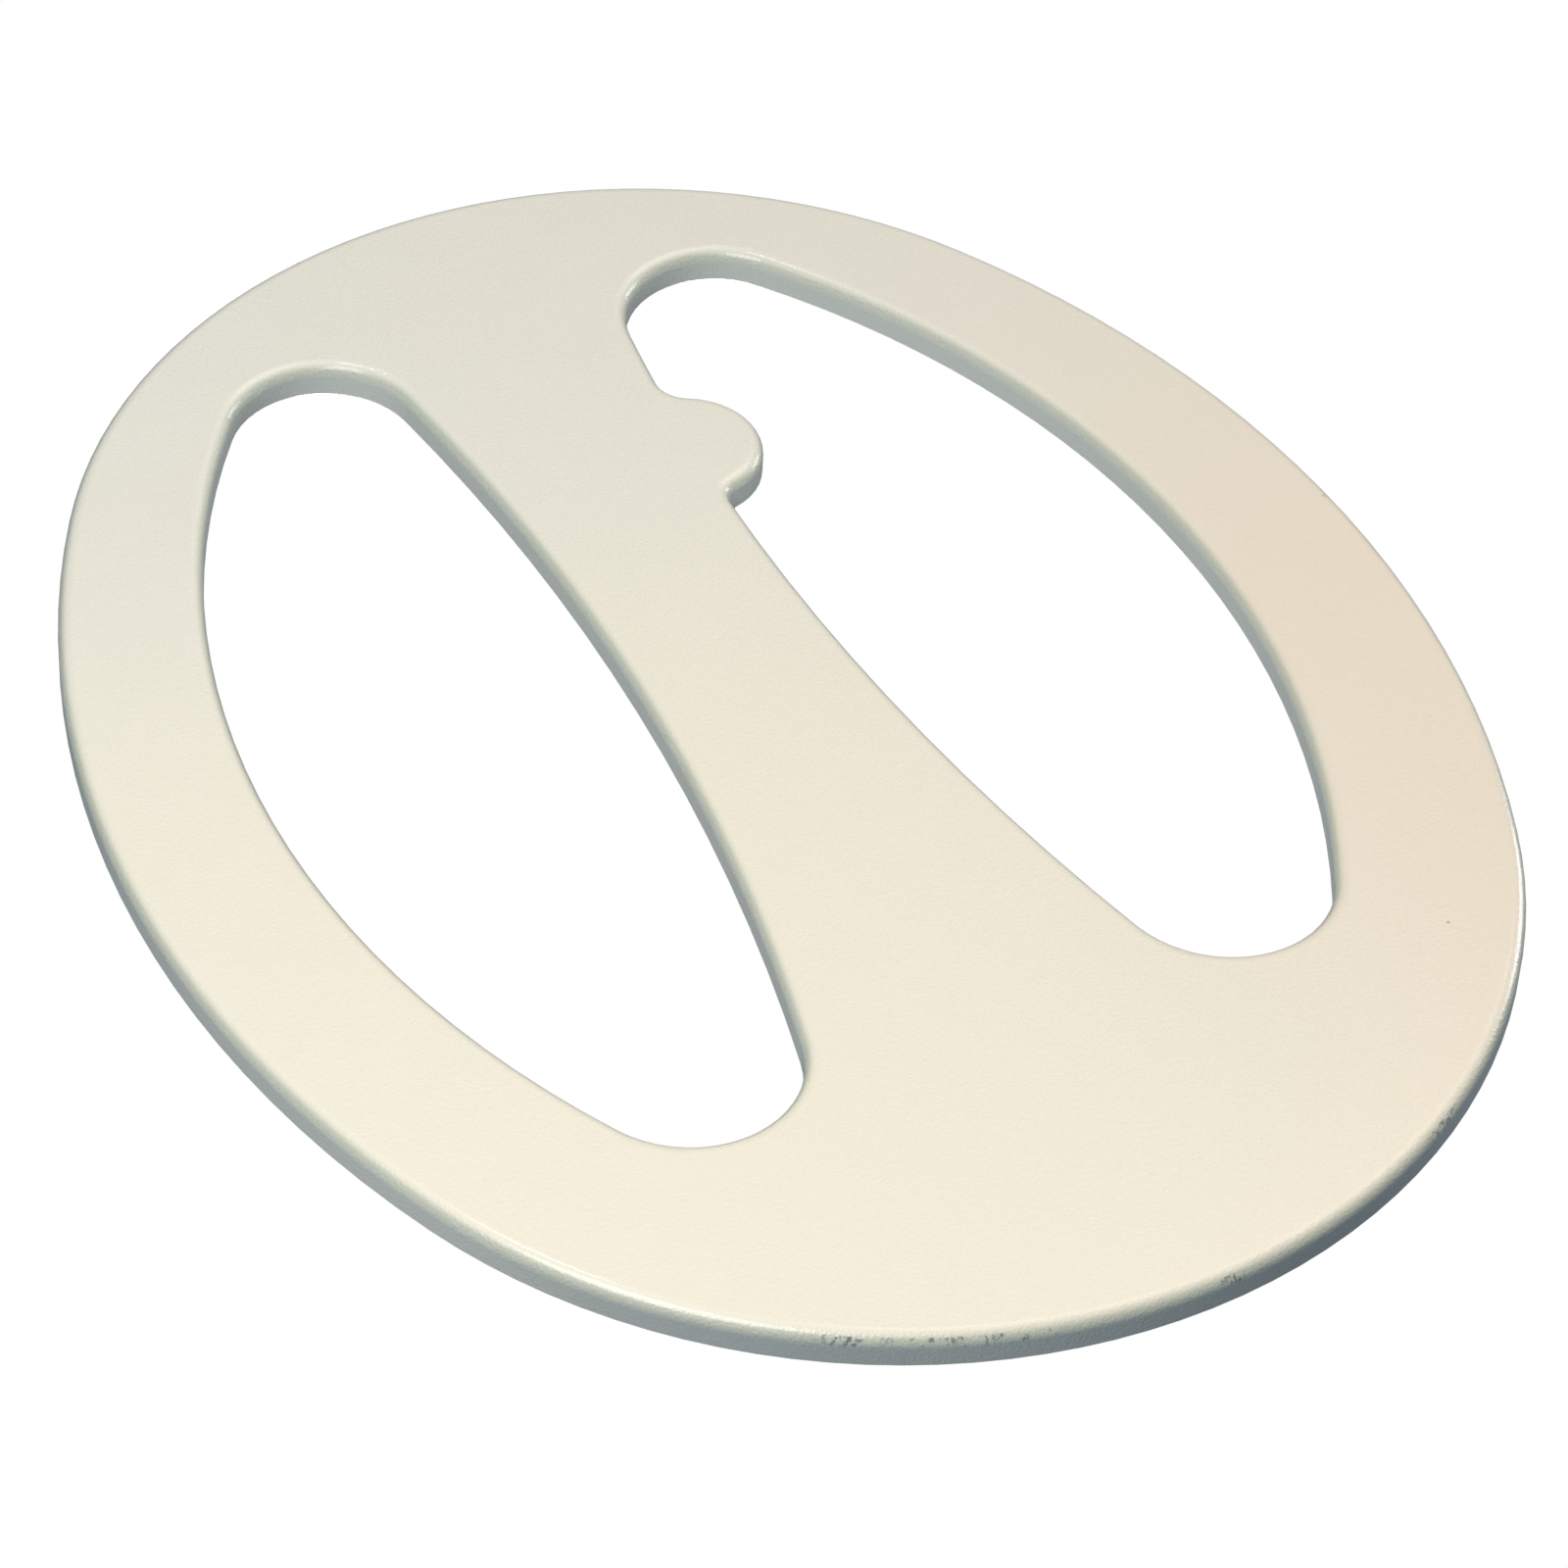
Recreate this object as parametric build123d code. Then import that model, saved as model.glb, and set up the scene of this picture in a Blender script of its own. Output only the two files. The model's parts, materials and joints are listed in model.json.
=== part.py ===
from build123d import *

import os
from math import cos, hypot, pi, sin, sqrt

# Search head of a metal detector, lying on its sole, in millimetres.
# +Z is up, +X points to the toe (front), and the origin is on the sole under
# the middle of the oval.

# --- driving dimensions: the oval body and its two windows ------------------
HALF_LENGTH = 190.5           # 15 inch body
HALF_WIDTH = 152.4            # 12 inch body
SIDE_RADIUS = 251.0           # long side arcs of the four-centre oval
SIDE_CENTRE_X = 4.6

WINDOW_OUTER = (-6.7, -103.0, 217.9)     # centre x, centre y, radius of the rim-side arc
WINDOW_INNER = (-47.2, 597.3, 573.7)     # centre x, centre y, radius of the spine-side arc
WINDOW_HEEL_RADIUS = 22.3
WINDOW_TOE_RADIUS = 25.0

NUB_X = -87.4                 # boss that carries the cable gland, on the spine's edge
NUB_Y = -23.6
NUB_RADIUS = 17.5
NUB_HEEL_FILLET = 8.0
NUB_TOE_FILLET = 4.5

# --- skid cover -------------------------------------------------------------
COVER_SHEET = 1.5
COVER_HEIGHT = 8.0
COVER_EDGE = 3.2
COVER_GAP = 0.3               # between the cover and the head, all round

# --- housing ----------------------------------------------------------------
WALL = 1.8
HEAD_INSET = COVER_SHEET + COVER_GAP
HEAD_FLOOR = COVER_SHEET + COVER_GAP
HEAD_EDGE = 1.6
SEAM_Z = 9.2
SHELL_TOP = 12.8
SHOULDER = 3.4                # 45 degree shoulder round the upper shell
SHOULDER_FILLET = 2.5
CAVITY_INSET = HEAD_INSET + WALL
CEILING = SHELL_TOP - WALL
TONGUE = 1.2                  # locating rim of the upper shell
TONGUE_DEPTH = 1.5
TONGUE_ROOT = 0.5             # how far the tongue reaches up into the lid
HOLLOW_SHOULDER = SHOULDER - WALL * (sqrt(2) - 1) - 0.4

SADDLE_TOP = 17.0
SADDLE_HEEL = -70.0
SADDLE_TOE = 66.0
SADDLE_HALF_WIDTH = 16.8
SADDLE_CORNER = 8.0
SADDLE_FILLET = 1.5
BAY_HEEL = -66.0              # hollow under the saddle that takes the board
BAY_TOE = 12.0
BAY_HALF_WIDTH = 12.5
BAY_CORNER = 5.0
SLIDING_GAP = 0.1             # round a tongue, a channel or a bolt
PAST = 1.0                    # how far a cut runs past the face it opens

# --- windings and what holds them -------------------------------------------
WINDING_WIDTH = 8.0
WINDING_HEIGHT = 3.2
WINDING_INSET = 10.0          # from the oval outline
WINDING_CROSSING = 14.0       # how far each winding passes the centre line
WINDING_CORNER = 24.0
SHIELD = 0.2
SHIELD_SLIT = 2.0
FOAM_GAP = 0.6                # between the foam and the housing's tongue
FOAM_CHAMFER = 1.4
FOAM_TOP = CEILING - 0.4
FOAM_BOTTOM = HEAD_FLOOR + WALL + SHIELD
TX_Z = FOAM_BOTTOM + SLIDING_GAP
RX_Z = FOAM_TOP - WINDING_HEIGHT
LEAD_RADIUS = 0.5
LEAD_OFFSET = 8.0             # of each tail from the board's middle, along the spine

# --- terminal board ---------------------------------------------------------
BOARD_X = -40.0
BOARD_LENGTH = 44.0
BOARD_WIDTH = 21.0
BOARD_THICKNESS = 1.2
BOARD_Z = 12.2
BOARD_TOP = BOARD_Z + BOARD_THICKNESS
BOARD_SCREW_OFFSET = 18.0
SCREW_RADIUS = 1.2
SCREW_HEAD_RADIUS = 2.3
SCREW_HEAD = 1.1
SCREW_TIP = 15.8
POST_RADIUS = 2.6
PIN_RADIUS = 0.5
PIN_PITCH = 5.0
PIN_Y = 8.0
PIN_BELOW = 0.6
PIN_ABOVE = 1.2
CAPACITOR_SIZE = (7.2, 5.0, 1.6)
CAPACITOR_PLACES = ((-6.0, -3.0), (6.0, -3.0))

# --- cable gland ------------------------------------------------------------
GLAND_THREAD_RADIUS = 6.0
GLAND_ACROSS_FLATS = 16.0
GLAND_BARREL_RADIUS = 6.6
GLAND_CABLE_RADIUS = 3.3
GLAND_SEAL_RADIUS = 4.9
GLAND_THROAT_RADIUS = 4.0     # hole in the body, under the seal
GLAND_MOUTH_RADIUS = 4.2      # hole in the nut, over the seal
GLAND_FOOT = SEAM_Z - 2.4
GLAND_CAVITY_RADIUS = 10.0    # room in the foam for the lock nut
LOCK_NUT_ACROSS_FLATS = 15.0
LOCK_NUT_BOTTOM = SEAM_Z - 1.6
BOSS_RADIUS = 12.0
BOSS_TOP = SADDLE_TOP
O_RING_WIRE = 1.6
FLANGE_BOTTOM = BOSS_TOP + 1.2
FLANGE_TOP = FLANGE_BOTTOM + 3.0
NUT_BOTTOM = FLANGE_TOP + 0.4
NUT_HEXAGON = 6.0             # height of the nut's flats, under its dome
NUT_TOP = NUT_BOTTOM + 11.0
NUT_FILLET = 2.5
BARREL_TOP = NUT_TOP - 4.0
SEAL_BOTTOM = FLANGE_BOTTOM + 2.0
SEAL_TOP = NUT_TOP - 2.0
SEAL_CHAMFER = 0.6
SEAL_NECK = 1.5               # how far the seal reaches down into the throat
SEAL_NOSE = 1.0               # and up into the nut's mouth

# --- tilt joint -------------------------------------------------------------
PIVOT_X = 38.0
PIVOT_Z = 30.0
EAR_INNER = 11.5
EAR_THICKNESS = 5.0
EAR_OUTER = EAR_INNER + EAR_THICKNESS
EAR_RADIUS = 11.5
EAR_FOOT = 17.0
EDGE_FILLET = 1.0             # round the ears and the yoke's eye
BOLT_RADIUS = 4.0
BOLT_HEAD_RADIUS = 8.5
BOLT_HEAD = 3.4
BOLT_HEAD_FILLET = 2.6
BOLT_NECK = 8.6               # square under the bolt's head
BOLT_NECK_LENGTH = 4.4
BOLT_TIP_CHAMFER = 0.8
RUNNING_GAP = 0.08
WASHER_GAP = 0.4              # between the bolt and each washer
YOKE_HALF_WIDTH = 8.5
YOKE_EYE_RADIUS = 11.0
FRICTION_WASHER_RADIUS = 10.4
THROUGH_YOKE = 50.0           # long enough to pass right through the joint
BUSH_RADIUS = 5.6
COLLAR_X = 14.0
COLLAR_LENGTH = 5.0
COLLAR_RADIUS = 11.5
COLLAR_CHAMFER = 0.8
SPIGOT_RADIUS = 9.5
SPIGOT_LENGTH = 40.0
SPIGOT_BORE = 6.5
SPIGOT_CHAMFER = 1.0
THRUST_WASHER = 1.2
THRUST_WASHER_RADIUS = 9.0
KNOB_START = -EAR_OUTER - THRUST_WASHER
KNOB_RADIUS = 13.0
KNOB_LENGTH = 15.0
KNOB_END = 3.0                # solid end past the insert
KNOB_LOBES = 6
LOBE_RADIUS = 5.4             # of each hollow between two lobes
LOBE_REACH = KNOB_RADIUS + 3.4
LOBE_FILLET = 1.4
KNOB_FILLET = 1.2
KNOB_INSERT_RADIUS = 6.2
BOLT_TIP = KNOB_START - KNOB_LENGTH + KNOB_END + 0.5


# --- plane geometry ---------------------------------------------------------
def unit(from_point, to_point):
    length = hypot(to_point[0] - from_point[0], to_point[1] - from_point[1])
    return ((to_point[0] - from_point[0]) / length, (to_point[1] - from_point[1]) / length)


def meeting_point(centre_a, reach_a, centre_b, reach_b, side):
    """Point at reach_a from centre_a and reach_b from centre_b, left (1) or right (-1) of a to b."""
    gap = hypot(centre_b[0] - centre_a[0], centre_b[1] - centre_a[1])
    along = (reach_a ** 2 - reach_b ** 2 + gap ** 2) / (2 * gap)
    across = side * sqrt(reach_a ** 2 - along ** 2)
    ux, uy = unit(centre_a, centre_b)
    return (centre_a[0] + along * ux - across * uy, centre_a[1] + along * uy + across * ux)


def touch_point(circle_a, circle_b):
    """Where two tangent circles touch, one inside the other or side by side."""
    if circle_a[2] < circle_b[2]:
        circle_a, circle_b = circle_b, circle_a
    ux, uy = unit(circle_a, circle_b)
    return (circle_a[0] + circle_a[2] * ux, circle_a[1] + circle_a[2] * uy)


def arc_loop(circles):
    """Face bounded by one arc of each circle, every circle tangent to the next."""
    arcs = []
    for index, circle in enumerate(circles):
        start = touch_point(circles[index - 1], circle)
        end = touch_point(circle, circles[(index + 1) % len(circles)])
        chord_middle = ((start[0] + end[0]) / 2, (start[1] + end[1]) / 2)
        ux, uy = unit(circle, chord_middle)
        middle = (circle[0] + circle[2] * ux, circle[1] + circle[2] * uy)
        arcs.append(ThreePointArc(start, middle, end))
    return make_face(arcs)


def tip_circle(sign):
    """Circle at the toe (1) or heel (-1) that is tangent to both side arcs."""
    rise = HALF_WIDTH - SIDE_RADIUS
    reach = HALF_LENGTH - sign * SIDE_CENTRE_X
    radius = (SIDE_RADIUS ** 2 - reach ** 2 - rise ** 2) / (2 * (SIDE_RADIUS - reach))
    return (sign * (HALF_LENGTH - radius), 0, radius)


def oval(inset):
    side = (SIDE_CENTRE_X, SIDE_RADIUS - HALF_WIDTH, SIDE_RADIUS)
    circles = [tip_circle(1), side, tip_circle(-1), (side[0], -side[1], side[2])]
    return arc_loop([(x, y, radius - inset) for x, y, radius in circles])


def corner_circle(radius, side):
    """Rounded corner of a window: side 1 is the heel end, -1 the toe end."""
    centre = meeting_point(
        WINDOW_OUTER, WINDOW_OUTER[2] - radius, WINDOW_INNER, WINDOW_INNER[2] - radius, side)
    return (centre[0], centre[1], radius)


def nub_fillet(radius, side):
    """Fillet where the nub meets the spine: side 1 is the heel side, -1 the toe side."""
    centre = meeting_point(
        (NUB_X, -NUB_Y), NUB_RADIUS + radius, WINDOW_INNER, WINDOW_INNER[2] - radius, side)
    return (centre[0], centre[1], radius)


def window(grow, with_nub):
    """Window opening on the +Y side, its edge moved out into the plate by grow."""
    corners = (corner_circle(WINDOW_HEEL_RADIUS, 1), corner_circle(WINDOW_TOE_RADIUS, -1))
    outer, inner, heel, toe = [
        (x, y, radius + grow) for x, y, radius in (WINDOW_OUTER, WINDOW_INNER, *corners)]
    spine_side = [inner]
    if with_nub:
        heel_fillet, toe_fillet = [
            (x, y, radius + grow) for x, y, radius in
            (nub_fillet(NUB_HEEL_FILLET, 1), nub_fillet(NUB_TOE_FILLET, -1))]
        spine_side = [inner, heel_fillet, (NUB_X, -NUB_Y, NUB_RADIUS - grow), toe_fillet, inner]
    return arc_loop([outer, heel] + spine_side + [toe])


def plate(inset):
    """The oval with its two windows, every edge moved inwards by inset."""
    return oval(inset) - window(inset, False) - mirror(window(inset, True), about=Plane.XZ)


def raised(face, bottom, top):
    return extrude(Pos(0, 0, bottom) * face, amount=top - bottom, dir=(0, 0, 1))


def edges_at(solid, height):
    return solid.edges().filter_by_position(Axis.Z, height - 0.01, height + 0.01)


def cylinder_z(radius, bottom, top, x=0, y=0):
    return Pos(x, y, (bottom + top) / 2) * Cylinder(radius, top - bottom)


def cylinder_y(radius, start, end):
    """Round bar along Y on the tilt axis."""
    middle = (start + end) / 2
    return Pos(PIVOT_X, middle, PIVOT_Z) * Rot(90, 0, 0) * Cylinder(radius, abs(end - start))


def cylinder_x(radius, start, end):
    """Round bar along the folded shaft, measured from the tilt axis."""
    middle = (start + end) / 2
    return Pos(PIVOT_X + middle, 0, PIVOT_Z) * Rot(0, 90, 0) * Cylinder(radius, end - start)


def hexagon(across_flats, bottom, top):
    """Hexagonal bar on the gland's axis."""
    face = RegularPolygon(across_flats / 2, 6, major_radius=False)
    return raised(Pos(NUB_X, NUB_Y, 0) * face, bottom, top)


def at_gland(radius, bottom, top):
    return cylinder_z(radius, bottom, top, NUB_X, NUB_Y)


# --- skid cover -------------------------------------------------------------
def skid_cover():
    """Thin tray that takes the wear, with a low skirt round the rim and the windows."""
    outside = raised(plate(0), 0, COVER_HEIGHT)
    outside = fillet(edges_at(outside, 0), COVER_EDGE)
    inside = raised(plate(COVER_SHEET), COVER_SHEET, COVER_HEIGHT + PAST)
    inside = fillet(edges_at(inside, COVER_SHEET), COVER_EDGE - COVER_SHEET)
    return outside - inside


# --- housing ----------------------------------------------------------------
def lower_shell():
    outside = raised(plate(HEAD_INSET), HEAD_FLOOR, SEAM_Z)
    outside = fillet(edges_at(outside, HEAD_FLOOR), HEAD_EDGE)
    return outside - raised(plate(CAVITY_INSET), HEAD_FLOOR + WALL, SEAM_Z + PAST)


def rounded_bar(heel, toe, half_width, corner, bottom, top):
    face = Pos((heel + toe) / 2, 0, 0) * RectangleRounded(toe - heel, 2 * half_width, corner)
    return raised(face, bottom, top)


def ear(side):
    """One lug of the clevis, its foot wider than its eye."""
    foot = SADDLE_TOP - PAST
    outline = make_hull([
        Edge.make_circle(EAR_RADIUS, Plane((0, PIVOT_Z - foot, 0))),
        Edge.make_line((-EAR_FOOT, 0, 0), (EAR_FOOT, 0, 0))])
    middle = side * (EAR_INNER + EAR_THICKNESS / 2)
    upright = Plane((PIVOT_X, middle, foot), x_dir=(1, 0, 0), z_dir=(0, -1, 0))
    lug = extrude(upright * outline, amount=EAR_THICKNESS / 2, both=True)
    outer_face = lug.faces().sort_by(Axis.Y)[-1 if side > 0 else 0]
    return fillet(outer_face.edges(), EDGE_FILLET)


def lid():
    """Top of the housing with its sloped shoulder and the rim that locates it."""
    outside = raised(plate(HEAD_INSET), SEAM_Z, SHELL_TOP)
    outside = chamfer(edges_at(outside, SHELL_TOP), SHOULDER)
    outside = fillet(edges_at(outside, SHELL_TOP), SHOULDER_FILLET)
    hollow = raised(plate(CAVITY_INSET), SEAM_Z - PAST, CEILING)
    hollow = chamfer(edges_at(hollow, CEILING), HOLLOW_SHOULDER)
    tongue_inset = CAVITY_INSET + SLIDING_GAP
    tongue_outline = plate(tongue_inset) - plate(tongue_inset + TONGUE)
    return outside - hollow + raised(tongue_outline, SEAM_Z - TONGUE_DEPTH, SEAM_Z + TONGUE_ROOT)


def upper_shell():
    """Lid with the saddle, the ears and the gland boss moulded in one."""
    saddle = rounded_bar(SADDLE_HEEL, SADDLE_TOE, SADDLE_HALF_WIDTH, SADDLE_CORNER, CEILING, SADDLE_TOP)
    saddle = fillet(edges_at(saddle, SADDLE_TOP), SADDLE_FILLET)
    bay = rounded_bar(BAY_HEEL, BAY_TOE, BAY_HALF_WIDTH, BAY_CORNER, SEAM_Z, SADDLE_TOP - WALL)
    boss = at_gland(BOSS_RADIUS, CEILING, BOSS_TOP)
    posts = [cylinder_z(POST_RADIUS, BOARD_TOP, SADDLE_TOP - WALL + PAST, x) for x in board_screw_places()]
    shell = lid() + saddle + boss - bay + posts + ear(1) + ear(-1)
    shell -= at_gland(GLAND_THREAD_RADIUS + SLIDING_GAP, SEAM_Z - PAST, BOSS_TOP + PAST)
    shell -= [cylinder_z(SCREW_RADIUS, BOARD_Z, SCREW_TIP + SLIDING_GAP, x) for x in board_screw_places()]
    neck_width = BOLT_NECK + 2 * SLIDING_GAP
    shell -= Pos(PIVOT_X, EAR_INNER + EAR_THICKNESS / 2, PIVOT_Z) * Box(
        neck_width, EAR_THICKNESS + PAST, neck_width)
    return shell - cylinder_y(BOLT_RADIUS + SLIDING_GAP, -EAR_INNER + PAST, -EAR_OUTER - PAST)


# --- windings, foam and shield ----------------------------------------------
def d_shape(inset, crossing, corner):
    """Half of the oval, reaching past the centre line by crossing, on the +Y side."""
    half_plane = Pos(0, HALF_WIDTH - crossing, 0) * Rectangle(3 * HALF_LENGTH, 2 * HALF_WIDTH)
    half = oval(inset) & half_plane
    return fillet(half.vertices().filter_by_position(Axis.Y, -crossing - 1, -crossing + 1), corner)


def winding_band(side, slack):
    """Plan of one winding, and of the channel round it when slack is more than zero."""
    band = d_shape(WINDING_INSET - slack, WINDING_CROSSING + slack, WINDING_CORNER + slack)
    inner_crossing = WINDING_CROSSING - WINDING_WIDTH - slack
    band -= d_shape(WINDING_INSET + WINDING_WIDTH + slack, inner_crossing,
                    WINDING_CORNER - WINDING_WIDTH - slack)
    return band if side > 0 else mirror(band, about=Plane.XZ)


def winding(side, bottom):
    return raised(winding_band(side, 0), bottom, bottom + WINDING_HEIGHT)


def foam_core():
    """Rigid foam that fills the housing and holds each winding in its own channel."""
    foam = raised(plate(CAVITY_INSET + TONGUE + FOAM_GAP), FOAM_BOTTOM, FOAM_TOP)
    foam = chamfer(edges_at(foam, FOAM_TOP), FOAM_CHAMFER)
    foam -= raised(winding_band(1, SLIDING_GAP), FOAM_BOTTOM - PAST, TX_Z + WINDING_HEIGHT + SLIDING_GAP)
    foam -= raised(winding_band(-1, SLIDING_GAP), RX_Z - SLIDING_GAP, FOAM_TOP + PAST)
    return foam - at_gland(GLAND_CAVITY_RADIUS, HEAD_FLOOR + WALL + PAST, FOAM_TOP + PAST)


def shield_film():
    """Conductive film on the floor, slit across both rims so that it isn't a shorted turn."""
    film = raised(plate(CAVITY_INSET + FOAM_GAP), FOAM_BOTTOM - SHIELD, FOAM_BOTTOM)
    slit_middle = Pos(SIDE_CENTRE_X, 0, FOAM_BOTTOM)
    whole = slit_middle * Box(SHIELD_SLIT, 3 * HALF_WIDTH, 2 * PAST)
    spine = slit_middle * Box(SHIELD_SLIT, HALF_WIDTH / 2, 2 * PAST)
    return film - (whole - spine)


def winding_leads():
    """Tails of the two windings, rising to the board."""
    band_middle = WINDING_CROSSING - WINDING_WIDTH / 2
    reach = band_middle - 3 * LEAD_RADIUS
    return [cylinder_z(LEAD_RADIUS, FOAM_TOP, BOARD_Z, x, y)
            for y in (-reach, reach) for x in (BOARD_X - LEAD_OFFSET, BOARD_X + LEAD_OFFSET)]


# --- terminal board ---------------------------------------------------------
def board_screw_places():
    return [BOARD_X - BOARD_SCREW_OFFSET, BOARD_X + BOARD_SCREW_OFFSET]


def pin_places():
    return [BOARD_X + PIN_PITCH * step for step in (-2, -1, 0, 1, 2)]


def terminal_board():
    board = Pos(BOARD_X, 0, BOARD_Z + BOARD_THICKNESS / 2) * Box(BOARD_LENGTH, BOARD_WIDTH, BOARD_THICKNESS)
    low, high = BOARD_Z - PAST, BOARD_TOP + PAST
    board -= [cylinder_z(SCREW_RADIUS + SLIDING_GAP, low, high, x) for x in board_screw_places()]
    return board - [cylinder_z(PIN_RADIUS, low, high, x, PIN_Y) for x in pin_places()]


def terminal_pins():
    bottom, top = BOARD_Z - PIN_BELOW, BOARD_TOP + PIN_ABOVE
    return [cylinder_z(PIN_RADIUS, bottom, top, x, PIN_Y) for x in pin_places()]


def tuning_capacitors():
    middle = BOARD_TOP + CAPACITOR_SIZE[2] / 2
    return [Pos(BOARD_X + x, y, middle) * Box(*CAPACITOR_SIZE) for x, y in CAPACITOR_PLACES]


def board_screws():
    """Two nylon screws, driven up into the posts under the saddle."""
    return [cylinder_z(SCREW_HEAD_RADIUS, BOARD_Z - SCREW_HEAD, BOARD_Z, x)
            + cylinder_z(SCREW_RADIUS, BOARD_Z - SCREW_HEAD / 2, SCREW_TIP, x) for x in board_screw_places()]


# --- cable gland ------------------------------------------------------------
def gland_body():
    """Threaded stem through the boss, with a flange and a barrel for the seal."""
    body = at_gland(GLAND_THREAD_RADIUS, GLAND_FOOT, FLANGE_TOP)
    body += hexagon(GLAND_ACROSS_FLATS, FLANGE_BOTTOM, FLANGE_TOP)
    body += at_gland(GLAND_BARREL_RADIUS, FLANGE_TOP - PAST, BARREL_TOP)
    body -= at_gland(GLAND_THROAT_RADIUS, GLAND_FOOT - PAST, BARREL_TOP)
    return body - at_gland(GLAND_SEAL_RADIUS, SEAL_BOTTOM, BARREL_TOP + PAST)


def gland_seal():
    """Rubber bush that grips the cable, with a neck in the throat and a nose in the mouth."""
    bush = at_gland(GLAND_SEAL_RADIUS, SEAL_BOTTOM, SEAL_TOP)
    bush = chamfer(edges_at(bush, SEAL_TOP), SEAL_CHAMFER)
    bush += at_gland(GLAND_THROAT_RADIUS, SEAL_BOTTOM - SEAL_NECK, SEAL_BOTTOM + PAST)
    bush += at_gland(GLAND_MOUTH_RADIUS, SEAL_TOP - PAST, SEAL_TOP + SEAL_NOSE)
    return bush - at_gland(GLAND_CABLE_RADIUS, SEAL_BOTTOM - SEAL_NECK - PAST, NUT_TOP)


def gland_nut():
    """Domed cap nut that squeezes the seal."""
    nut = hexagon(GLAND_ACROSS_FLATS, NUT_BOTTOM, NUT_BOTTOM + NUT_HEXAGON)
    dome = at_gland(GLAND_ACROSS_FLATS / 2 - SLIDING_GAP, NUT_BOTTOM + NUT_HEXAGON - PAST, NUT_TOP)
    nut += fillet(edges_at(dome, NUT_TOP), NUT_FILLET)
    nut -= at_gland(GLAND_BARREL_RADIUS, NUT_BOTTOM - PAST, BARREL_TOP + SLIDING_GAP)
    nut -= at_gland(GLAND_SEAL_RADIUS + SLIDING_GAP, NUT_BOTTOM, SEAL_TOP)
    return nut - at_gland(GLAND_MOUTH_RADIUS, NUT_BOTTOM, NUT_TOP + PAST)


def gland_o_ring():
    inner = GLAND_THREAD_RADIUS + SLIDING_GAP
    ring = at_gland(inner + O_RING_WIRE, BOSS_TOP, FLANGE_BOTTOM)
    ring -= at_gland(inner, BOSS_TOP - PAST, FLANGE_BOTTOM + PAST)
    return fillet(ring.edges().filter_by(GeomType.CIRCLE), O_RING_WIRE / 4)


def gland_lock_nut():
    """Nut inside the housing that pulls the gland down on its boss."""
    nut = hexagon(LOCK_NUT_ACROSS_FLATS, LOCK_NUT_BOTTOM, CEILING)
    return nut - at_gland(GLAND_THREAD_RADIUS, LOCK_NUT_BOTTOM - PAST, CEILING + PAST)


# --- tilt joint -------------------------------------------------------------
def pivot_bolt():
    """Nylon coach bolt: domed head, square neck in the ear, shank through the yoke."""
    head = cylinder_y(BOLT_HEAD_RADIUS, EAR_OUTER, EAR_OUTER + BOLT_HEAD)
    head = fillet(head.edges().sort_by(Axis.Y)[-1], BOLT_HEAD_FILLET)
    neck_middle = EAR_OUTER - BOLT_NECK_LENGTH / 2 + SLIDING_GAP
    neck = Pos(PIVOT_X, neck_middle, PIVOT_Z) * Box(BOLT_NECK, BOLT_NECK_LENGTH, BOLT_NECK)
    shank = cylinder_y(BOLT_RADIUS, EAR_OUTER, BOLT_TIP)
    shank = chamfer(shank.edges().sort_by(Axis.Y)[0], BOLT_TIP_CHAMFER)
    return head + neck + shank


def friction_washers():
    """Rubber discs that hold the tilt."""
    hole = cylinder_y(BOLT_RADIUS + WASHER_GAP, -THROUGH_YOKE, THROUGH_YOKE)
    return [cylinder_y(FRICTION_WASHER_RADIUS, side * YOKE_HALF_WIDTH, side * EAR_INNER) - hole
            for side in (1, -1)]


def yoke_bush():
    bush = cylinder_y(BUSH_RADIUS, -YOKE_HALF_WIDTH, YOKE_HALF_WIDTH)
    return bush - cylinder_y(BOLT_RADIUS + RUNNING_GAP, -THROUGH_YOKE, THROUGH_YOKE)


def rod_yoke():
    """Eye on the tilt bolt, collar, and the spigot that plugs into the lower shaft."""
    neck_x, neck_half = COLLAR_X + PAST, COLLAR_RADIUS - PAST
    outline = make_hull([
        Edge.make_circle(YOKE_EYE_RADIUS),
        Edge.make_line((neck_x, -neck_half, 0), (neck_x, neck_half, 0))])
    upright = Plane((PIVOT_X, 0, PIVOT_Z), x_dir=(1, 0, 0), z_dir=(0, -1, 0))
    yoke = extrude(upright * outline, amount=YOKE_HALF_WIDTH, both=True)
    yoke = fillet(yoke.faces().filter_by(Axis.Y).edges(), EDGE_FILLET)
    collar_end = COLLAR_X + COLLAR_LENGTH
    collar = cylinder_x(COLLAR_RADIUS, COLLAR_X, collar_end)
    yoke += chamfer(collar.edges().filter_by(GeomType.CIRCLE), COLLAR_CHAMFER)
    spigot = cylinder_x(SPIGOT_RADIUS, neck_x, collar_end + SPIGOT_LENGTH)
    yoke += chamfer(spigot.edges().sort_by(Axis.X)[-1], SPIGOT_CHAMFER)
    yoke -= cylinder_x(SPIGOT_BORE, collar_end, collar_end + SPIGOT_LENGTH + PAST)
    return yoke - cylinder_y(BUSH_RADIUS, -THROUGH_YOKE, THROUGH_YOKE)


def knob_thrust_washer():
    washer = cylinder_y(THRUST_WASHER_RADIUS, -EAR_OUTER, KNOB_START)
    return washer - cylinder_y(BOLT_RADIUS + WASHER_GAP, -THROUGH_YOKE, THROUGH_YOKE)


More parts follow.
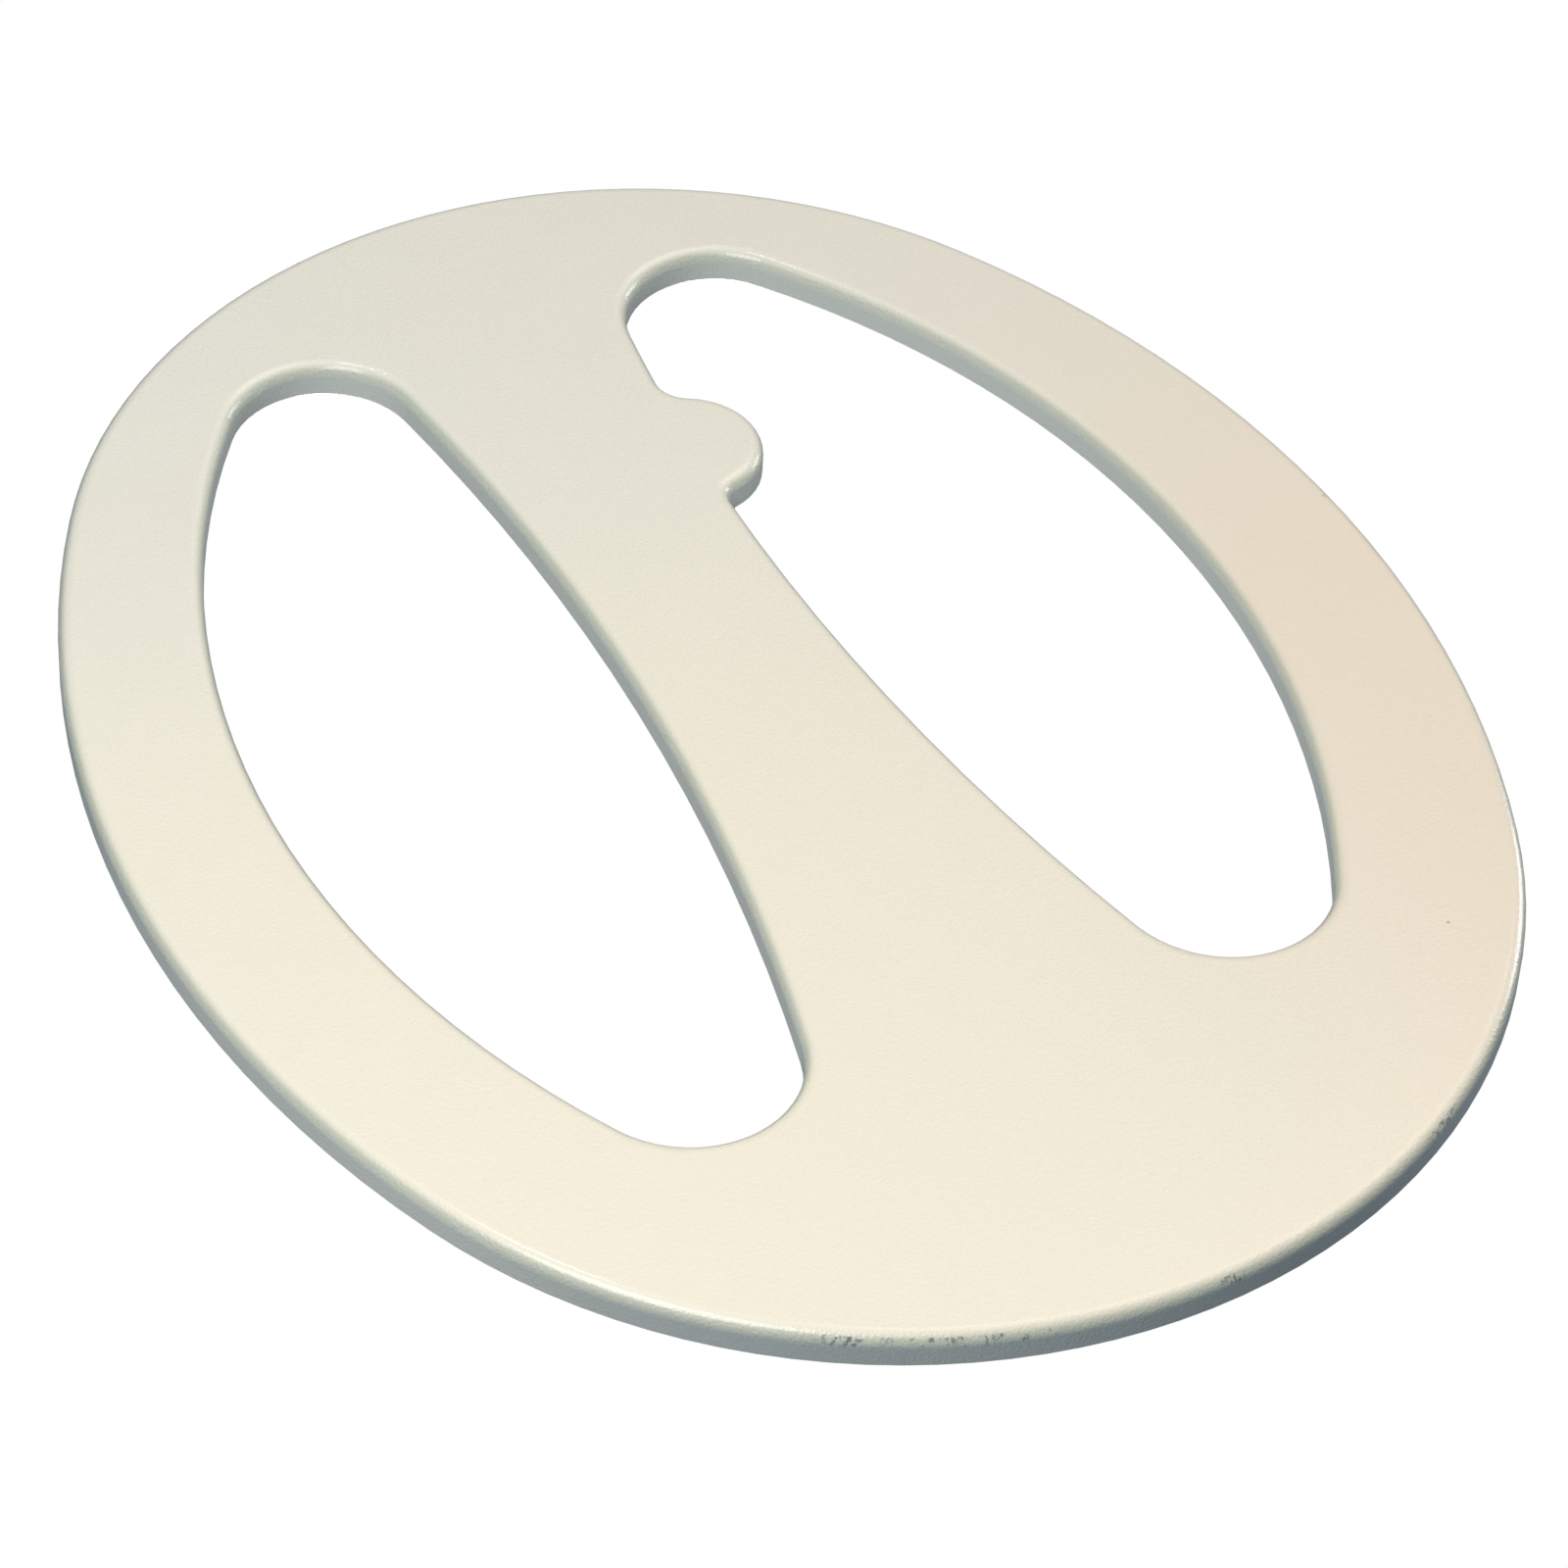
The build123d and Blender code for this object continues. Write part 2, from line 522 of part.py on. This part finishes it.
def pivot_knob():
    """Lobed knob that clamps the ears on the yoke."""
    end = KNOB_START - KNOB_LENGTH
    knob = cylinder_y(KNOB_RADIUS, KNOB_START, end)
    for lobe in range(KNOB_LOBES):
        angle = 2 * pi * lobe / KNOB_LOBES
        place = Pos(LOBE_REACH * cos(angle), 0, LOBE_REACH * sin(angle))
        knob -= place * cylinder_y(LOBE_RADIUS, KNOB_START + PAST, end - PAST)
    knob = fillet(knob.edges().filter_by(Axis.Y), LOBE_FILLET)
    knob = fillet(knob.edges().group_by(Axis.Y)[0], KNOB_FILLET)
    return knob - cylinder_y(KNOB_INSERT_RADIUS, KNOB_START + PAST, end + KNOB_END)


def knob_insert():
    """Threaded bush moulded into the knob."""
    end = KNOB_START - KNOB_LENGTH + KNOB_END
    bush = cylinder_y(KNOB_INSERT_RADIUS, KNOB_START, end)
    return bush - cylinder_y(BOLT_RADIUS + RUNNING_GAP, KNOB_START + PAST, end - PAST)


# --- the pieces, one file each ----------------------------------------------
def as_one(shape):
    """A group of separate solids becomes one compound."""
    if isinstance(shape, (list, tuple)):
        return Compound(children=[solid for piece in shape for solid in piece.solids()])
    return shape


PIECES = {
    "skid_cover": skid_cover,
    "lower_shell": lower_shell,
    "upper_shell": upper_shell,
    "tx_winding": lambda: winding(1, TX_Z),
    "rx_winding": lambda: winding(-1, RX_Z),
    "winding_leads": winding_leads,
    "foam_core": foam_core,
    "shield_film": shield_film,
    "terminal_board": terminal_board,
    "terminal_pins": terminal_pins,
    "tuning_capacitors": tuning_capacitors,
    "board_screws": board_screws,
    "gland_body": gland_body,
    "gland_seal": gland_seal,
    "gland_nut": gland_nut,
    "gland_o_ring": gland_o_ring,
    "gland_lock_nut": gland_lock_nut,
    "pivot_bolt": pivot_bolt,
    "friction_washers": friction_washers,
    "yoke_bush": yoke_bush,
    "rod_yoke": rod_yoke,
    "knob_thrust_washer": knob_thrust_washer,
    "pivot_knob": pivot_knob,
    "knob_insert": knob_insert,
}

os.makedirs("parts", exist_ok=True)
for name, make in PIECES.items():
    export_step(as_one(make()), f"parts/{name}.step")
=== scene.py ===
import json
import math

import bpy
from mathutils import Matrix, Vector

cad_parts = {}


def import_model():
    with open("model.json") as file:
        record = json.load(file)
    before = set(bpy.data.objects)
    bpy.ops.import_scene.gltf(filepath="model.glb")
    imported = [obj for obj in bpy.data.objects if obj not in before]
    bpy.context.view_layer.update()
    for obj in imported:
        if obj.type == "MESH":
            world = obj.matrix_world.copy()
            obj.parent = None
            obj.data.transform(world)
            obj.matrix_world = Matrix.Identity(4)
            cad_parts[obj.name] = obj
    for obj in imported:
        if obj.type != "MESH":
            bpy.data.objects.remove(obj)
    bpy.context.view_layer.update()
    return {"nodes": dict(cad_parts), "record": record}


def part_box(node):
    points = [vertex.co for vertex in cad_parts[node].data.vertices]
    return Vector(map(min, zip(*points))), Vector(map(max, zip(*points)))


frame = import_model()


def darker(colour, share):
    return tuple(share * part for part in colour)


# --- finishes: base colours in linear light ---------------------------------
CREAM = (0.80, 0.745, 0.605)
CREAM_COOL = (0.735, 0.735, 0.655)
CREAM_WARM = (0.79, 0.69, 0.545)
# painted shade for the walls and rounded edges, not the plastic's own colour
PAINTED_WALL_SHADE_DARK = (0.44, 0.49, 0.485)
PAINTED_WALL_SHADE_LIGHT = (0.70, 0.72, 0.66)
PAINTED_EDGE_SHADE = (0.50, 0.53, 0.41)
SCUFF = (0.16, 0.19, 0.20)
BLACK = (0.028, 0.029, 0.031)
BLACK_WORN = (0.075, 0.077, 0.08)
RUBBER = (0.018, 0.018, 0.019)
NATURAL = (0.74, 0.72, 0.64)
COPPER = (0.55, 0.20, 0.07)
COPPER_DARK = (0.26, 0.075, 0.025)
FOAM = (0.70, 0.62, 0.36)
GRAPHITE = (0.05, 0.052, 0.057)
BOARD = (0.02, 0.16, 0.06)
TIN = (0.62, 0.62, 0.60)
CAPACITOR = (0.42, 0.09, 0.04)
FLOOR_TONE = (0.86, 0.86, 0.86)

# --- how strongly each second tone shows, from 0 to 1 -------------------------
COOL_DRIFT = 0.25
WARM_DRIFT = 0.2
MOTTLE = 0.12
# next two: painted light drift across the cover
PAINTED_WARM_DRIFT = 0.8
PAINTED_PALE_DRIFT = 0.6
# next two: painted shade on the rounded edges and upright walls
ROLLED = 0.75
UPRIGHT = 0.7
SCUFFED = 0.9
SPECKED = 0.7
PATCHED = 0.6

# --- texture scales: larger is finer -------------------------------------------
COOL_SCALE = 5.0
WARM_SCALE = 7.5
MOTTLE_SCALE = 140.0
PEBBLE_SCALE = 1500.0
FINE_SCALE = 2600.0
SCRAPE_SCALE = 1200.0
WORN_SCALE = 230.0
SPECK_SCALE = 120.0
SPECK_FIELD_SCALE = 45.0
SHEEN_SCALE = 60.0
PATCH_SCALE = 90.0
ROUGH_SCALE = 200.0
STRAND_SCALE = 900.0
DULL_SCALE = 300.0

# --- the part of each texture that counts: where it starts and where it is full --
COOL_BAND = (0.42, 0.66)
WARM_BAND = (0.5, 0.72)
MOTTLE_BAND = (0.35, 0.7)
SCRAPE_BAND = (0.48, 0.58)
WORN_BAND = (0.4, 0.54)
SPECK_FIELD_BAND = (0.72, 0.76)
SPECK_BAND = (0.05, 0.09)
PATCH_BAND = (0.5, 0.72)
STRAND_BAND = (0.35, 0.65)
GLOSS_BAND = (0.3, 0.7)

# --- levelness of the surface: 0 on an upright wall, 1 on a level face ------------
WALL_LEVELS = (0.05, 0.6)
ROLLED_LEVELS = (0.6, 0.97)
SCUFFED_LEVELS = (0.02, 0.72)

# --- depths of the bumps, in metres ------------------------------------------
CREAM_GRAIN = 0.00016
WIRE_GRAIN = 0.0002

COVER_LOW, COVER_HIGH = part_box("skid_cover")

# worn places on the cover's rim: degrees round the oval from the toe, and reach in metres
WORN_PLACES = ((27, 0.010), (21, 0.016), (15, 0.012), (-4, 0.008), (-27, 0.008))

# --- camera, lights and floor: places in metres, in the part's frame -----------
CAMERA_PLACE = (0.8639, 0.4938, -0.9365)
CAMERA_RIGHT = (0.4607, -0.88639, -0.0454)
CAMERA_UP = (-0.63202, -0.29172, -0.71795)
CAMERA_BACK = (0.62314, 0.35945, -0.69462)
CAMERA_LENS = 140.7
SENSOR_WIDTH = 36.0
NEAREST_SEEN = 0.05

FLOOR_SIZE = 12.0
FLOOR_DROP = 0.0006

AMBIENT_TONE = (0.66, 0.80, 1.0)
AMBIENT_STRENGTH = 0.21

SOLE_MIDDLE = (0, 0, 0)

# name, place, width, watts, colour
LIGHTS = (
    ("sole_key", (0.35, 0.61, -0.9), 0.7, 10.3, (0.985, 0.995, 1.0)),
    ("sole_fill", (-0.3, -0.9, -1.6), 1.3, 10.8, (1.0, 0.86, 0.70)),
    ("edge_glint", (-0.5, 0.12, -1.45), 0.2, 2.6, (1.0, 0.97, 0.95)),
    ("side_rim", (-0.1, -1.25, -0.2), 0.5, 5.5, (0.93, 0.94, 1.0)),
    ("top_key", (-0.75, -0.45, 1.9), 0.4, 30.0, (1.0, 0.98, 0.95)),
    ("top_fill", (0.0, 0.0, 2.4), 1.6, 26.0, (0.95, 0.97, 1.0)),
)


# --- node helpers -----------------------------------------------------------
class Nodes:
    """A material's node tree with short ways to add and join nodes."""

    def __init__(self, name):
        self.material = bpy.data.materials.new(name)
        self.material.use_nodes = True
        self.tree = self.material.node_tree
        self.shader = self.tree.nodes["Principled BSDF"]
        self.place = self.tree.nodes.new("ShaderNodeTexCoord")

    def join(self, source, target):
        self.tree.links.new(source, target)

    def drive(self, name, source):
        """Joins a source to one of the shader's own sockets."""
        self.join(source, self.shader.inputs[name])

    def fix(self, name, value):
        """Sets one of the shader's own sockets to the same value all over."""
        self.shader.inputs[name].default_value = value

    def add(self, kind, **settings):
        node = self.tree.nodes.new(kind)
        for key, value in settings.items():
            setattr(node, key, value)
        return node

    def noise(self, scale, detail=2.0, roughness=0.5, stretch=None):
        node = self.add("ShaderNodeTexNoise")
        node.inputs["Scale"].default_value = scale
        node.inputs["Detail"].default_value = detail
        node.inputs["Roughness"].default_value = roughness
        source = self.place.outputs["Object"]
        if stretch:
            mapping = self.add("ShaderNodeMapping")
            mapping.inputs["Scale"].default_value = stretch
            self.join(source, mapping.inputs["Vector"])
            source = mapping.outputs["Vector"]
        self.join(source, node.inputs["Vector"])
        return node.outputs["Fac"]

    def cells(self, scale, feature="SMOOTH_F1"):
        node = self.add("ShaderNodeTexVoronoi", feature=feature)
        node.inputs["Scale"].default_value = scale
        self.join(self.place.outputs["Object"], node.inputs["Vector"])
        return node.outputs["Distance"]

    def ramp(self, value, low, high, out_low=0.0, out_high=1.0):
        node = self.add("ShaderNodeMapRange", interpolation_type="SMOOTHSTEP")
        node.inputs["From Min"].default_value = low
        node.inputs["From Max"].default_value = high
        node.inputs["To Min"].default_value = out_low
        node.inputs["To Max"].default_value = out_high
        self.join(value, node.inputs["Value"])
        return node.outputs["Result"]

    def maths(self, operation, first, second=0):
        node = self.add("ShaderNodeMath", operation=operation)
        for value, socket in zip((first, second), node.inputs):
            if isinstance(value, (int, float)):
                socket.default_value = value
            else:
                self.join(value, socket)
        return node.outputs["Value"]

    def times(self, first, second):
        return self.maths("MULTIPLY", first, second)

    def blend(self, amount, first, second):
        node = self.add("ShaderNodeMix", data_type="RGBA")
        self.join(amount, node.inputs["Factor"])
        colour_sockets = [one for one in node.inputs if one.type == "RGBA"]
        for value, socket in zip((first, second), colour_sockets):
            if isinstance(value, tuple):
                socket.default_value = (*value, 1.0)
            else:
                self.join(value, socket)
        return [one for one in node.outputs if one.type == "RGBA"][0]

    def near(self, place, reach):
        """1 at a place on the object, falling to 0 at the reach."""
        node = self.add("ShaderNodeVectorMath", operation="DISTANCE")
        self.join(self.place.outputs["Object"], node.inputs[0])
        node.inputs[1].default_value = place
        return self.ramp(node.outputs["Value"], 0.35 * reach, reach, 1.0, 0.0)

    def axis(self, coordinates, letter):
        node = self.add("ShaderNodeSeparateXYZ")
        self.join(self.place.outputs[coordinates], node.inputs["Vector"])
        return node.outputs[letter]

    def levelness(self):
        """1 on a level face, 0 on an upright wall."""
        return self.maths("ABSOLUTE", self.axis("Normal", "Z"))

    def bump(self, height, depth, strength=1.0):
        node = self.add("ShaderNodeBump")
        node.inputs["Strength"].default_value = strength
        node.inputs["Distance"].default_value = depth
        self.join(height, node.inputs["Height"])
        return node.outputs["Normal"]


def rounded_edge(nodes, low, high):
    """1 on the rounded edge that turns from a level face to an upright wall."""
    level = nodes.levelness()
    rising = nodes.ramp(level, low, low + 0.25)
    falling = nodes.ramp(level, high, high + 0.04, 1.0, 0.0)
    return nodes.times(rising, falling)


def scuffs(nodes):
    """Short dark scrapes on the rounded edge, in a few worn places."""
    worn = 0
    for degrees, reach in WORN_PLACES:
        angle = math.radians(degrees)
        along = COVER_HIGH[0] * math.cos(angle)
        across = COVER_HIGH[1] * math.sin(angle)
        worn = nodes.maths("MAXIMUM", nodes.near((along, across, COVER_LOW[2]), reach), worn)
    edge = rounded_edge(nodes, *SCUFFED_LEVELS)
    scrapes = nodes.ramp(nodes.noise(SCRAPE_SCALE, 3.0, 0.6, stretch=(1.0, 1.0, 0.4)), *SCRAPE_BAND)
    patches = nodes.ramp(nodes.noise(WORN_SCALE, 1.0), *WORN_BAND)
    marks = nodes.times(edge, nodes.times(scrapes, patches))
    return nodes.times(marks, nodes.times(worn, SCUFFED))


def dirt_specks(nodes):
    """A few pin-point dark marks, far apart."""
    chosen = nodes.ramp(nodes.noise(SPECK_FIELD_SCALE, 0.0), *SPECK_FIELD_BAND)
    points = nodes.ramp(nodes.cells(SPECK_SCALE, "F1"), *SPECK_BAND, 1.0, 0.0)
    return nodes.times(nodes.times(chosen, points), SPECKED)


# --- materials --------------------------------------------------------------
def drifting_cream(nodes):
    """Cream with a slow drift of tone and a fine mottle."""
    cool = nodes.ramp(nodes.noise(COOL_SCALE, 1.0), *COOL_BAND)
    warm = nodes.ramp(nodes.noise(WARM_SCALE, 1.0, stretch=(1.0, 0.6, 1.0)), *WARM_BAND)
    mottle = nodes.ramp(nodes.noise(MOTTLE_SCALE, 4.0, 0.6), *MOTTLE_BAND)
    colour = nodes.blend(nodes.times(cool, COOL_DRIFT), CREAM, CREAM_COOL)
    colour = nodes.blend(nodes.times(warm, WARM_DRIFT), colour, CREAM_WARM)
    return nodes.blend(nodes.times(mottle, MOTTLE), colour, CREAM_COOL)


def painted_light_drift(nodes, colour):
    """Painted light drift, standing in for uneven light across the cover: yellower toward the nub's
    side, and paler toward its heel.
    """
    across = nodes.axis("Object", "Y")
    painted_warmth = nodes.ramp(across, 0.9 * COVER_LOW[1], 0.0, PAINTED_WARM_DRIFT, 0.0)
    colour = nodes.blend(painted_warmth, colour, CREAM_WARM)
    along = nodes.axis("Object", "X")
    painted_paleness = nodes.ramp(along, 0.75 * COVER_LOW[0], 0.1 * COVER_HIGH[0], PAINTED_PALE_DRIFT, 0.0)
    return nodes.blend(painted_paleness, colour, CREAM_COOL)


def painted_shade_on_walls(nodes, colour):
    """Painted shade, standing in for the shade that falls on them: greenish on the rounded edges
    and grey on the walls, darkest at the toe.
    """
    level = nodes.levelness()
    edge_shade = nodes.ramp(level, *ROLLED_LEVELS, ROLLED, 0.0)
    colour = nodes.blend(edge_shade, colour, PAINTED_EDGE_SHADE)
    along = nodes.axis("Object", "X")
    toe_shade = nodes.ramp(along, 0.45 * COVER_HIGH[0], 0.9 * COVER_HIGH[0])
    wall = nodes.blend(toe_shade, PAINTED_WALL_SHADE_LIGHT, PAINTED_WALL_SHADE_DARK)
    upright = nodes.ramp(level, *WALL_LEVELS, UPRIGHT, 0.0)
    return nodes.blend(upright, colour, wall)


def cream_plastic(name, scuffs_and_painted_drift):
    """Cream ABS with a fine pebble grain and painted shade on its walls and rounded edges; on the
    cover also a painted light drift, and scuffs where it meets the ground.
    """
    nodes = Nodes(name)
    colour = drifting_cream(nodes)
    if scuffs_and_painted_drift:
        # painted light drift across the cover: yellower toward the nub's side, paler toward the
        # heel
        colour = painted_light_drift(nodes, colour)
    # painted shade on the walls and rounded edges, darkest at the toe
    colour = painted_shade_on_walls(nodes, colour)
    if scuffs_and_painted_drift:
        colour = nodes.blend(scuffs(nodes), colour, SCUFF)
        colour = nodes.blend(dirt_specks(nodes), colour, SCUFF)
    nodes.drive("Base Color", colour)
    fine = nodes.times(nodes.noise(FINE_SCALE), 0.6)
    grain = nodes.maths("ADD", nodes.cells(PEBBLE_SCALE), fine)
    nodes.drive("Normal", nodes.bump(grain, CREAM_GRAIN, 0.7))
    nodes.drive("Roughness", nodes.ramp(nodes.noise(SHEEN_SCALE, 3.0), *GLOSS_BAND, 0.32, 0.42))
    nodes.fix("Specular IOR Level", 0.45)
    nodes.fix("Coat Weight", 0.4)
    nodes.fix("Coat Roughness", 0.13)
    return nodes.material


def moulded(name, colour, worn, roughness, grain_scale, grain_depth):
    """Plain moulded plastic or rubber with a fine grain and patches of a second tone."""
    nodes = Nodes(name)
    patches = nodes.ramp(nodes.noise(PATCH_SCALE, 4.0, 0.65), *PATCH_BAND)
    nodes.drive("Base Color", nodes.blend(nodes.times(patches, PATCHED), colour, worn))
    nodes.drive("Normal", nodes.bump(nodes.noise(grain_scale, 3.0), grain_depth, 0.5))
    rough = nodes.ramp(nodes.noise(ROUGH_SCALE), *GLOSS_BAND, roughness - 0.06, roughness + 0.08)
    nodes.drive("Roughness", rough)
    return nodes.material


def wire_bundle(name):
    """Enamelled wires that lie side by side."""
    nodes = Nodes(name)
    strands = nodes.noise(STRAND_SCALE, stretch=(0.15, 0.15, 1.0))
    nodes.drive("Base Color", nodes.blend(nodes.ramp(strands, *STRAND_BAND), COPPER_DARK, COPPER))
    nodes.drive("Normal", nodes.bump(strands, WIRE_GRAIN))
    nodes.fix("Metallic", 0.6)
    nodes.fix("Roughness", 0.35)
    return nodes.material


def metal(name, colour):
    """Bright metal with duller patches."""
    nodes = Nodes(name)
    dull = nodes.noise(DULL_SCALE, 3.0)
    nodes.drive("Base Color", nodes.blend(dull, colour, darker(colour, 0.75)))
    nodes.drive("Roughness", nodes.ramp(dull, *GLOSS_BAND, 0.28, 0.45))
    nodes.fix("Metallic", 1.0)
    return nodes.material


FINISHES = {
    "cover_abs": cream_plastic("cream_cover", True),
    "shell_abs": cream_plastic("cream_shell", False),
    "black_nylon": moulded("black_nylon", BLACK, BLACK_WORN, 0.48, 1200.0, 0.00006),
    "yoke_nylon": moulded("glass_filled_nylon", BLACK, BLACK_WORN, 0.42, 700.0, 0.00008),
    "rubber": moulded("soft_rubber", RUBBER, BLACK_WORN, 0.72, 1800.0, 0.00004),
    "nylon": moulded("natural_nylon", NATURAL, darker(NATURAL, 0.8), 0.38, 900.0, 0.00004),
    "foam": moulded("rigid_foam", FOAM, darker(FOAM, 0.8), 0.85, 500.0, 0.0003),
    "graphite_film": moulded("graphite_film", GRAPHITE, BLACK_WORN, 0.5, 600.0, 0.00003),
    "board": moulded("board_laminate", BOARD, darker(BOARD, 0.6), 0.3, 800.0, 0.00002),
    "capacitor": moulded("capacitor_dip", CAPACITOR, darker(CAPACITOR, 0.7), 0.25, 300.0, 0.00005),
    "copper_bundle": wire_bundle("enamelled_wire"),
    "tin": metal("tinned_pin", TIN),
}


def dress_cad_nodes():
    for row in frame["record"]["subparts"]:
        mesh = frame["nodes"][row["node"]].data
        mesh.materials.clear()
        mesh.materials.append(FINISHES[row["material_slot"]])


# --- stage, lights and camera -----------------------------------------------
def one_sided_floor():
    """Pale floor under the sole, seen from above only, so that the sole can be seen from below."""
    bpy.ops.mesh.primitive_plane_add(size=FLOOR_SIZE, location=(0, 0, -FLOOR_DROP))
    floor = bpy.context.object
    floor.name = "floor"
    nodes = Nodes("pale_floor")
    nodes.fix("Base Color", (*FLOOR_TONE, 1.0))
    nodes.fix("Roughness", 0.7)
    clear = nodes.add("ShaderNodeBsdfTransparent")
    sides = nodes.add("ShaderNodeNewGeometry")
    mix = nodes.add("ShaderNodeMixShader")
    nodes.join(sides.outputs["Backfacing"], mix.inputs["Fac"])
    nodes.join(nodes.shader.outputs["BSDF"], mix.inputs[1])
    nodes.join(clear.outputs["BSDF"], mix.inputs[2])
    output = nodes.tree.nodes["Material Output"]
    nodes.join(mix.outputs["Shader"], output.inputs["Surface"])
    floor.data.materials.append(nodes.material)
    floor.visible_shadow = False
    floor.visible_diffuse = False
    floor.visible_glossy = False
    floor.visible_transmission = False


def soft_light(name, place, width, watts, colour):
    """Round soft light aimed at the middle of the sole."""
    data = bpy.data.lights.new(name, "AREA")
    data.shape = "DISK"
    data.size = width
    data.energy = watts
    data.color = colour
    light = bpy.data.objects.new(name, data)
    light.location = place
    beam = Vector(SOLE_MIDDLE) - Vector(place)
    light.rotation_euler = beam.to_track_quat("-Z", "Y").to_euler()
    bpy.context.collection.objects.link(light)


def world():
    """Cool dim light from all round, and plain white where the camera sees past the part."""
    studio = bpy.data.worlds.new("studio")
    bpy.context.scene.world = studio
    studio.use_nodes = True
    tree = studio.node_tree
    ambient = tree.nodes["Background"]
    ambient.inputs["Color"].default_value = (*AMBIENT_TONE, 1.0)
    ambient.inputs["Strength"].default_value = AMBIENT_STRENGTH
    backdrop = tree.nodes.new("ShaderNodeBackground")
    backdrop.inputs["Color"].default_value = (1.0, 1.0, 1.0, 1.0)
    backdrop.inputs["Strength"].default_value = 1.0
    path = tree.nodes.new("ShaderNodeLightPath")
    mix = tree.nodes.new("ShaderNodeMixShader")
    tree.links.new(path.outputs["Is Camera Ray"], mix.inputs["Fac"])
    tree.links.new(ambient.outputs["Background"], mix.inputs[1])
    tree.links.new(backdrop.outputs["Background"], mix.inputs[2])
    tree.links.new(mix.outputs["Shader"], tree.nodes["World Output"].inputs["Surface"])


def camera():
    """Looks up at the sole from 44 degrees below it, off the toe end."""
    data = bpy.data.cameras.new("camera")
    data.lens = CAMERA_LENS
    data.sensor_width = SENSOR_WIDTH
    data.clip_start = NEAREST_SEEN
    eye = bpy.data.objects.new("camera", data)
    bpy.context.collection.objects.link(eye)
    turn = Matrix((CAMERA_RIGHT, CAMERA_UP, CAMERA_BACK)).transposed()
    eye.matrix_world = Matrix.Translation(CAMERA_PLACE) @ turn.to_4x4()
    bpy.context.scene.camera = eye


bpy.context.scene.view_settings.view_transform = "Standard"
camera()
world()
for light_row in LIGHTS:
    soft_light(*light_row)
one_sided_floor()
dress_cad_nodes()
